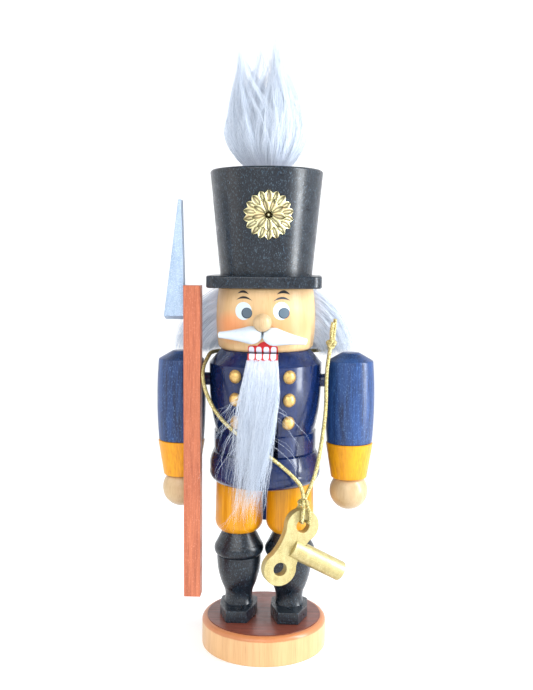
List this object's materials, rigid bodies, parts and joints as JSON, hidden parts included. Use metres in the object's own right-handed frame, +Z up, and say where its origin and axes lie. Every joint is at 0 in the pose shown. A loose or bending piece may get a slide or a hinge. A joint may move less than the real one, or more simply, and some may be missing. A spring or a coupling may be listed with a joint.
{
  "type": "nutcracker figure",
  "caption": "Wooden nutcracker figure on a round plinth, with a lever jaw, a plumed hat, a halberd and a wooden key hanging on a gold cord.",
  "frame": {"origin": "centre of the plinth's underside", "axes": "+Z up, -Y the way the figure faces, +X to the figure's own left"},
  "size_m": [0.1004, 0.0667, 0.2834],
  "materials": {
    "natural_maple": "clear satin lacquer",
    "stained_plinth": "orange-brown stain, satin lacquer",
    "black_stain": "black stain, satin lacquer",
    "yellow_stain": "golden yellow stain, satin lacquer",
    "dark_blue_lacquer": "dark blue stain, glossy lacquer",
    "blue_stain": "blue stain, satin lacquer",
    "plain_dowel": "bare beech",
    "steel_pin": "bare steel",
    "white_lacquer": "white paint, satin",
    "gold_paint": "pale gold paint",
    "stamped_brass": "bright stamped sheet",
    "copper_stain": "copper-brown stain, satin lacquer",
    "silver_paint": "pale silver-blue paint",
    "white_fur": "long white fur",
    "gold_cord": "metallic gold thread"
  },
  "bodies": {
    "figure": {"base_disc": "stained_plinth", "coat_body": "dark_blue_lacquer", "pivot_pin": "steel_pin", "head_block": "natural_maple", "nose": "natural_maple", "moustache_left": "white_lacquer", "moustache_right": "white_lacquer", "visor": "black_stain", "hat": "black_stain", "hat_dowel": "plain_dowel", "hat_rosette": "stamped_brass", "plume": "white_fur", "plume_pin": "plain_dowel", "hair": "white_fur", "shoe_left": "black_stain", "boot_left": "black_stain", "breeches_left": "yellow_stain", "leg_dowel_left": "plain_dowel", "neck_dowel_left": "plain_dowel", "sleeve_left": "blue_stain", "cuff_left": "yellow_stain", "hand_left": "natural_maple", "arm_dowel_left": "plain_dowel", "hand_dowel_left": "plain_dowel", "shoe_right": "black_stain", "boot_right": "black_stain", "breeches_right": "yellow_stain", "leg_dowel_right": "plain_dowel", "neck_dowel_right": "plain_dowel", "sleeve_right": "blue_stain", "cuff_right": "yellow_stain", "hand_right": "natural_maple", "arm_dowel_right": "plain_dowel", "hand_dowel_right": "plain_dowel", "coat_button_left_top": "gold_paint", "coat_button_left_middle": "gold_paint", "coat_button_left_bottom": "gold_paint", "coat_button_right_top": "gold_paint", "coat_button_right_middle": "gold_paint", "coat_button_right_bottom": "gold_paint", "halberd_shaft": "copper_stain", "halberd_blade": "silver_paint", "halberd_pin": "plain_dowel", "cord_long_strand": "gold_cord", "cord_short_strand": "gold_cord", "cord_knot": "gold_cord", "cord_tail_front": "gold_cord", "cord_tail_rear": "gold_cord", "cord_hitch": "gold_cord"},
    "jaw_lever": {"jaw_lever": "dark_blue_lacquer", "beard": "white_fur"},
    "key": {"key_plate": "gold_paint", "key_barrel": "gold_paint"}
  },
  "joints": [
    {"name": "jaw_hinge", "type": "hinge", "parent": "figure", "child": "jaw_lever", "pos_m": [0, 0.003, 0.115], "axis": [1, 0, 0], "range_deg": [0, 30], "deforming": ["beard"]},
    {"name": "key_swing", "type": "hinge", "parent": "figure", "child": "key", "pos_m": [0.0186, -0.0229, 0.0654], "axis": [0.3746, -0.9272, 0], "range_deg": [-20, 20]}
  ]
}
